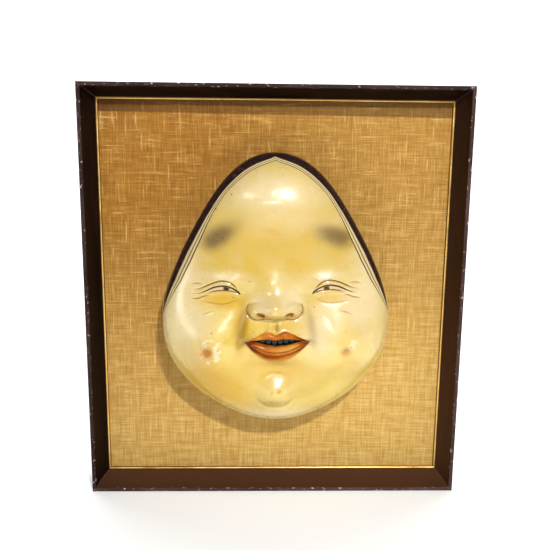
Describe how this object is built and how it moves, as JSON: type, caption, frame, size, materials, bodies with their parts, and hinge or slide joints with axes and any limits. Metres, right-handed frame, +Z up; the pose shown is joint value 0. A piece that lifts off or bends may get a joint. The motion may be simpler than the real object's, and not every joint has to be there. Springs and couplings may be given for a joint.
{
  "type": "framed noh mask",
  "caption": "Carved, painted noh-style wooden mask with full cheeks, mounted on slub cloth in a deep dark shadow-box frame with a gilt slip and a latched back.",
  "frame": {"origin": "middle of the bottom rail's underside, halfway through the rail's depth", "axes": "+Z up along the frame's height, -Y the way the mask looks, +X to the viewer's right when the mask is seen from the front"},
  "size_m": [0.303, 0.0888, 0.332],
  "materials": {
    "frame_lacquer": "dark brown lacquer over stained wood, semi-gloss, with small chips along the lip",
    "gilt": "gold leaf over a brown ground, satin, rubbed thin along the nose",
    "cloth": "ochre plain-weave silk with light slubs both ways, matt",
    "board": "brown hardboard, matt",
    "mask_paint": "carved wood with cream shell-white paint under a yellowed glossy varnish; painted hair, brows, eyes and lips",
    "bare_wood": "plain planed cedar, unfinished",
    "plywood": "thin plywood, aged, matt",
    "brass": "stamped brass, slightly tarnished",
    "steel": "zinc-plated steel, dull",
    "felt": "pressed wool felt, dark"
  },
  "bodies": {
    "case": {"rail_bottom": "frame_lacquer", "rail_top": "frame_lacquer", "rail_left": "frame_lacquer", "rail_right": "frame_lacquer", "corner_nails": "steel", "slip_bottom": "gilt", "slip_top": "gilt", "slip_left": "gilt", "slip_right": "gilt", "backing_cloth": "cloth", "mount_board": "board", "mask": "mask_paint", "mask_batten": "bare_wood", "mask_screws": "steel", "liner_bottom": "bare_wood", "liner_top": "bare_wood", "liner_left": "bare_wood", "liner_right": "bare_wood", "back_panel": "plywood", "button_screws": "steel", "hanger_strap_left": "steel", "hanger_strap_right": "steel", "hanger_screws": "steel", "wall_bumpers": "felt"},
    "button_1": {"turn_button_1": "brass"},
    "button_2": {"turn_button_2": "brass"},
    "button_3": {"turn_button_3": "brass"},
    "button_4": {"turn_button_4": "brass"},
    "button_5": {"turn_button_5": "brass"},
    "button_6": {"turn_button_6": "brass"},
    "ring_left": {"hanger_ring_left": "steel"},
    "ring_right": {"hanger_ring_right": "steel"}
  },
  "joints": [
    {"name": "button_1_turn", "type": "hinge", "parent": "case", "child": "button_1", "pos_m": [-0.141, 0.0209, 0.08], "axis": [0, 1, 0], "continuous": true},
    {"name": "button_2_turn", "type": "hinge", "parent": "case", "child": "button_2", "pos_m": [-0.141, 0.0209, 0.2], "axis": [0, 1, 0], "continuous": true},
    {"name": "button_3_turn", "type": "hinge", "parent": "case", "child": "button_3", "pos_m": [0.141, 0.0209, 0.08], "axis": [0, 1, 0], "continuous": true},
    {"name": "button_4_turn", "type": "hinge", "parent": "case", "child": "button_4", "pos_m": [0.141, 0.0209, 0.2], "axis": [0, 1, 0], "continuous": true},
    {"name": "button_5_turn", "type": "hinge", "parent": "case", "child": "button_5", "pos_m": [0, 0.0209, 0.3215], "axis": [0, 1, 0], "continuous": true},
    {"name": "button_6_turn", "type": "hinge", "parent": "case", "child": "button_6", "pos_m": [0, 0.0209, 0.0105], "axis": [0, 1, 0], "continuous": true},
    {"name": "ring_left_swing", "type": "hinge", "parent": "case", "child": "ring_left", "pos_m": [-0.1433, 0.0221, 0.25], "axis": [1, 0, 0], "range_deg": [0, 180]},
    {"name": "ring_right_swing", "type": "hinge", "parent": "case", "child": "ring_right", "pos_m": [0.1433, 0.0221, 0.25], "axis": [1, 0, 0], "range_deg": [0, 180]}
  ]
}
